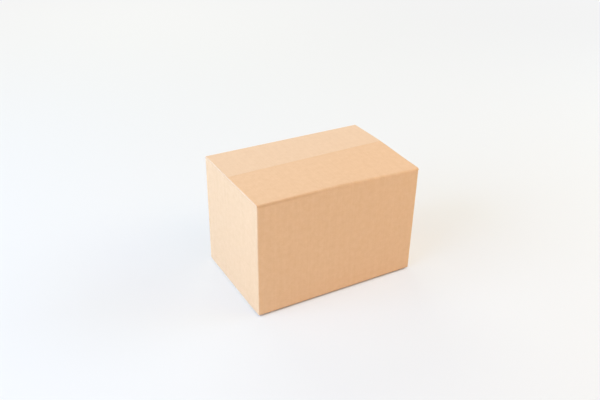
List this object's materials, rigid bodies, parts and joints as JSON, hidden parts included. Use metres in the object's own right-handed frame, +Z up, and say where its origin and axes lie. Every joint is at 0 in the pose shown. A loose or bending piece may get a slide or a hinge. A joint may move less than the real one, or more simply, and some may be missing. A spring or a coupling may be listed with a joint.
{
  "type": "corrugated cardboard shipping box",
  "caption": "Plain closed rectangular shipping box of brown corrugated cardboard, wider than deep, with two long top flaps that meet in an open seam and hinge open.",
  "frame": {"origin": "middle of the base, on the surface that the box stands on", "axes": "+X along the box's long side, +Y from the front panel to the rear panel, +Z up"},
  "size_m": [0.306, 0.2, 0.21],
  "materials": {
    "kraft_board": "matte unprinted kraft liner"
  },
  "bodies": {
    "carton": {"carton": "kraft_board"},
    "front_flap": {"front_top_flap": "kraft_board"},
    "rear_flap": {"rear_top_flap": "kraft_board"}
  },
  "joints": [
    {"name": "front_flap_fold", "type": "hinge", "parent": "carton", "child": "front_flap", "pos_m": [0, -0.1, 0.21], "axis": [1, 0, 0], "range_deg": [0, 255]},
    {"name": "rear_flap_fold", "type": "hinge", "parent": "carton", "child": "rear_flap", "pos_m": [0, 0.1, 0.21], "axis": [-1, 0, 0], "range_deg": [0, 255]}
  ]
}
